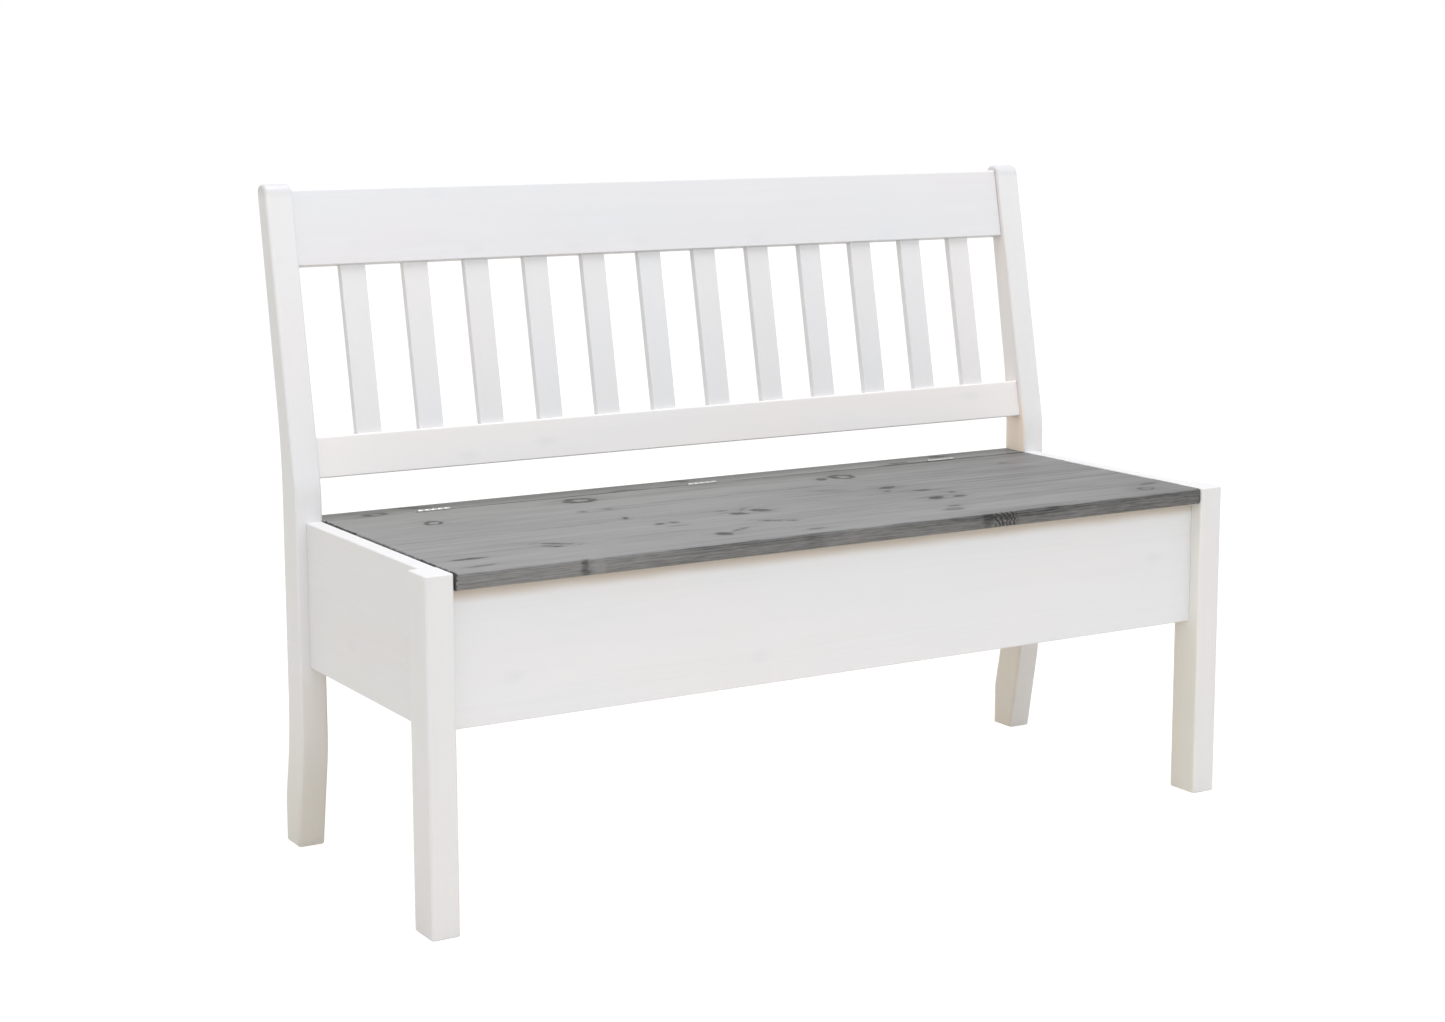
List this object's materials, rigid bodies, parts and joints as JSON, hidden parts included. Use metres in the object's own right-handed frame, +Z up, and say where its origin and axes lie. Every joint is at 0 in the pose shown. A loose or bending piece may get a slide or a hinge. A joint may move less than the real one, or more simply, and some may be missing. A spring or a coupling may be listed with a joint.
{
  "type": "storage bench",
  "caption": "Bench seat for a hall or bedroom with a hinged lid over a storage box and a leaning slatted backrest.",
  "frame": {"origin": "on the floor, under the centre of the bench's bounding box", "axes": "+X along the seat towards the right-hand end, +Y from the front of the seat towards the backrest, +Z up"},
  "size_m": [1.24, 0.5168, 0.889],
  "materials": {
    "white_pine": "satin white glaze over pine, faint grain and knots",
    "grey_pine": "satin grey glaze over brushed pine, visible grain and knots",
    "bare_pine": "untreated pine",
    "dowel_beech": "untreated beech",
    "hinge_steel": "nickel-plated steel",
    "screw_steel": "zinc-plated steel"
  },
  "bodies": {
    "frame": {"front_leg_left": "white_pine", "front_leg_right": "white_pine", "rear_post_left": "white_pine", "rear_post_right": "white_pine", "front_panel": "white_pine", "back_panel": "white_pine", "side_panel_left": "white_pine", "side_panel_right": "white_pine", "bottom_panel": "bare_pine", "cleat_front": "bare_pine", "cleat_back": "bare_pine", "cleat_left": "bare_pine", "cleat_right": "bare_pine", "top_rail": "white_pine", "lower_rail": "white_pine", "slat_01": "white_pine", "slat_02": "white_pine", "slat_03": "white_pine", "slat_04": "white_pine", "slat_05": "white_pine", "slat_06": "white_pine", "slat_07": "white_pine", "slat_08": "white_pine", "slat_09": "white_pine", "slat_10": "white_pine", "slat_11": "white_pine", "slat_12": "white_pine", "rear_strip": "grey_pine", "hinge_leaf_fixed_left": "hinge_steel", "hinge_leaf_fixed_middle": "hinge_steel", "hinge_leaf_fixed_right": "hinge_steel", "hinge_pin_left": "hinge_steel", "hinge_pin_middle": "hinge_steel", "hinge_pin_right": "hinge_steel", "rail_dowels": "dowel_beech", "panel_dowels": "dowel_beech", "strip_dowels": "dowel_beech", "hinge_screws_fixed": "screw_steel", "cleat_screws": "screw_steel", "bottom_screws": "screw_steel"},
    "lid": {"lid_stave_1": "grey_pine", "lid_stave_2": "grey_pine", "lid_stave_3": "grey_pine", "lid_stave_4": "grey_pine", "lid_batten_left": "grey_pine", "lid_batten_right": "grey_pine", "hinge_leaf_lid_left": "hinge_steel", "hinge_leaf_lid_middle": "hinge_steel", "hinge_leaf_lid_right": "hinge_steel", "hinge_screws_lid": "screw_steel", "batten_screws": "screw_steel"}
  },
  "joints": [
    {"name": "lid_hinge", "type": "hinge", "parent": "frame", "child": "lid", "pos_m": [0, 0.15159, 0.4485], "axis": [-1, 0, 0], "range_deg": [0, 100]}
  ]
}
